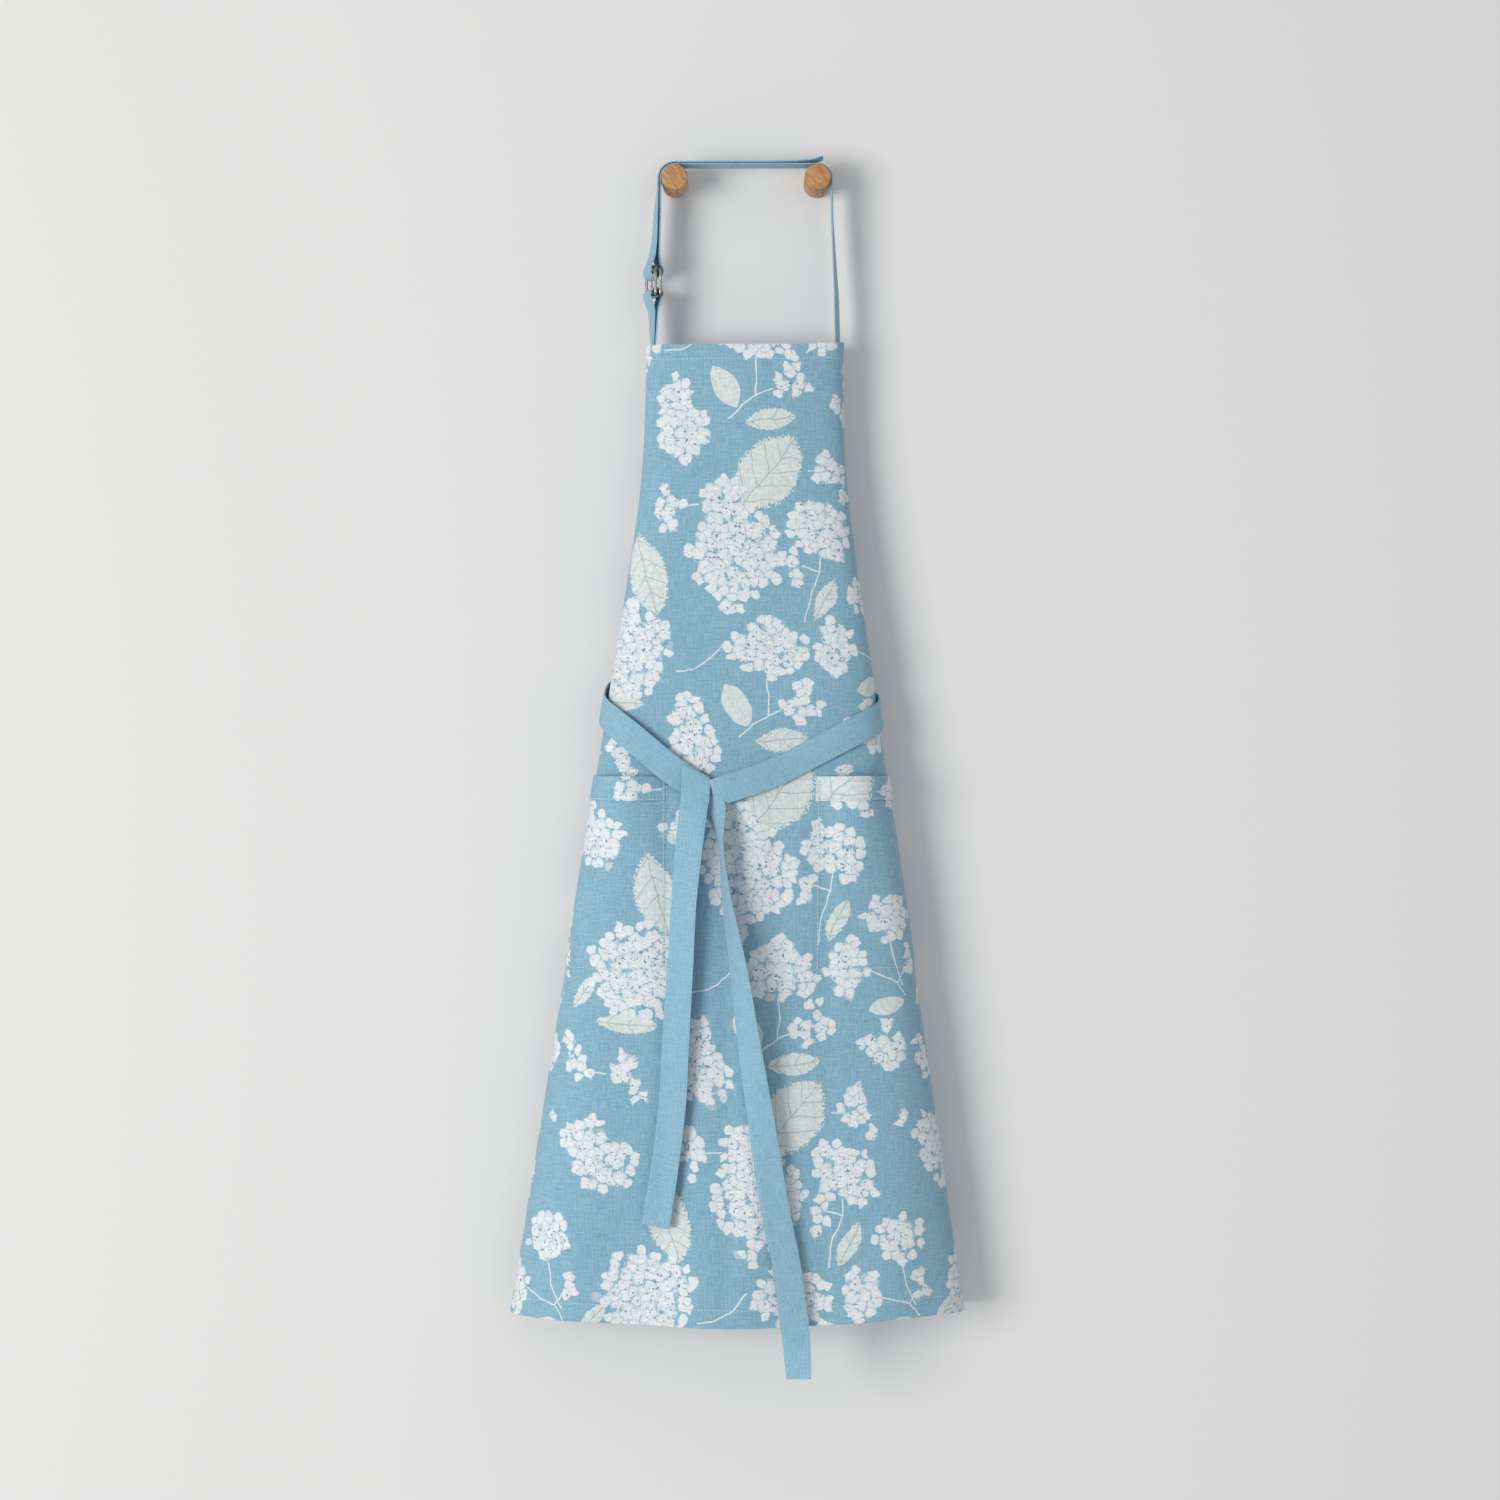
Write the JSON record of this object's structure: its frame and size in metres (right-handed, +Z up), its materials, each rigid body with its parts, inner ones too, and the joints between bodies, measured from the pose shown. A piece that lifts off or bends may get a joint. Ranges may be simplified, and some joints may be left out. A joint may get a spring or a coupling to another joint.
{
  "type": "bib apron on wall pegs",
  "caption": "Bib apron with patch pockets and a tied waist, hung by its neck strap with double D-rings from round wall pegs.",
  "frame": {"origin": "on the wall, midway between the two pegs' centres", "axes": "+X to the right as seen from the room, +Y into the wall, +Z up"},
  "size_m": [0.413, 0.1472, 1.0983],
  "materials": {
    "printed_linen": "blue linen with a white flower print",
    "plain_linen": "plain woven blue linen",
    "lining_cotton": "thin plain cotton",
    "nickel_plate": "bright nickel plate",
    "beech": "turned beech, oiled",
    "brass": "machined",
    "zinc_steel": "zinc plated",
    "nylon": "moulded nylon"
  },
  "bodies": {
    "wall_pegs": {"left_peg": "beech", "left_threaded_insert": "brass", "left_hanger_bolt": "zinc_steel", "left_wall_plug": "nylon", "right_peg": "beech", "right_threaded_insert": "brass", "right_hanger_bolt": "zinc_steel", "right_wall_plug": "nylon"},
    "neck_strap": {"neck_strap": "plain_linen", "ring_tab": "plain_linen"},
    "d_rings": {"outer_d_ring": "nickel_plate", "inner_d_ring": "nickel_plate"},
    "apron": {"apron_panel": "printed_linen", "bib_facing": "lining_cotton", "left_armhole_binding": "lining_cotton", "right_armhole_binding": "lining_cotton", "neck_strap_sewn_end": "plain_linen", "ring_tab_sewn_end": "plain_linen", "left_pocket": "printed_linen", "right_pocket": "printed_linen", "left_pocket_band": "printed_linen", "right_pocket_band": "printed_linen", "left_waist_tie": "plain_linen", "right_waist_tie": "plain_linen"},
    "left_tail": {"left_tie_tail": "plain_linen"},
    "right_tail": {"right_tie_tail": "plain_linen"}
  },
  "joints": [
    {"name": "lift_off_pegs", "type": "slide", "parent": "wall_pegs", "child": "neck_strap", "axis": [0, -1, 0], "range_m": [0, 0.1]},
    {"name": "apron_swing", "type": "hinge", "parent": "neck_strap", "child": "apron", "pos_m": [0, -0.042, -0.154], "axis": [-1, 0, 0], "range_deg": [0, 24]},
    {"name": "ring_tilt", "type": "hinge", "parent": "neck_strap", "child": "d_rings", "pos_m": [-0.0845, -0.028, -0.106], "axis": [-0.309, 0.9511, 0], "range_deg": [-2, 2]},
    {"name": "left_tail_swing", "type": "hinge", "parent": "apron", "child": "left_tail", "pos_m": [-0.0235, -0.0849, -0.581], "axis": [-1, 0, 0], "range_deg": [0, 50]},
    {"name": "right_tail_swing", "type": "hinge", "parent": "apron", "child": "right_tail", "pos_m": [-0.0496, -0.0809, -0.558], "axis": [-1, 0, 0], "range_deg": [0, 50]}
  ]
}
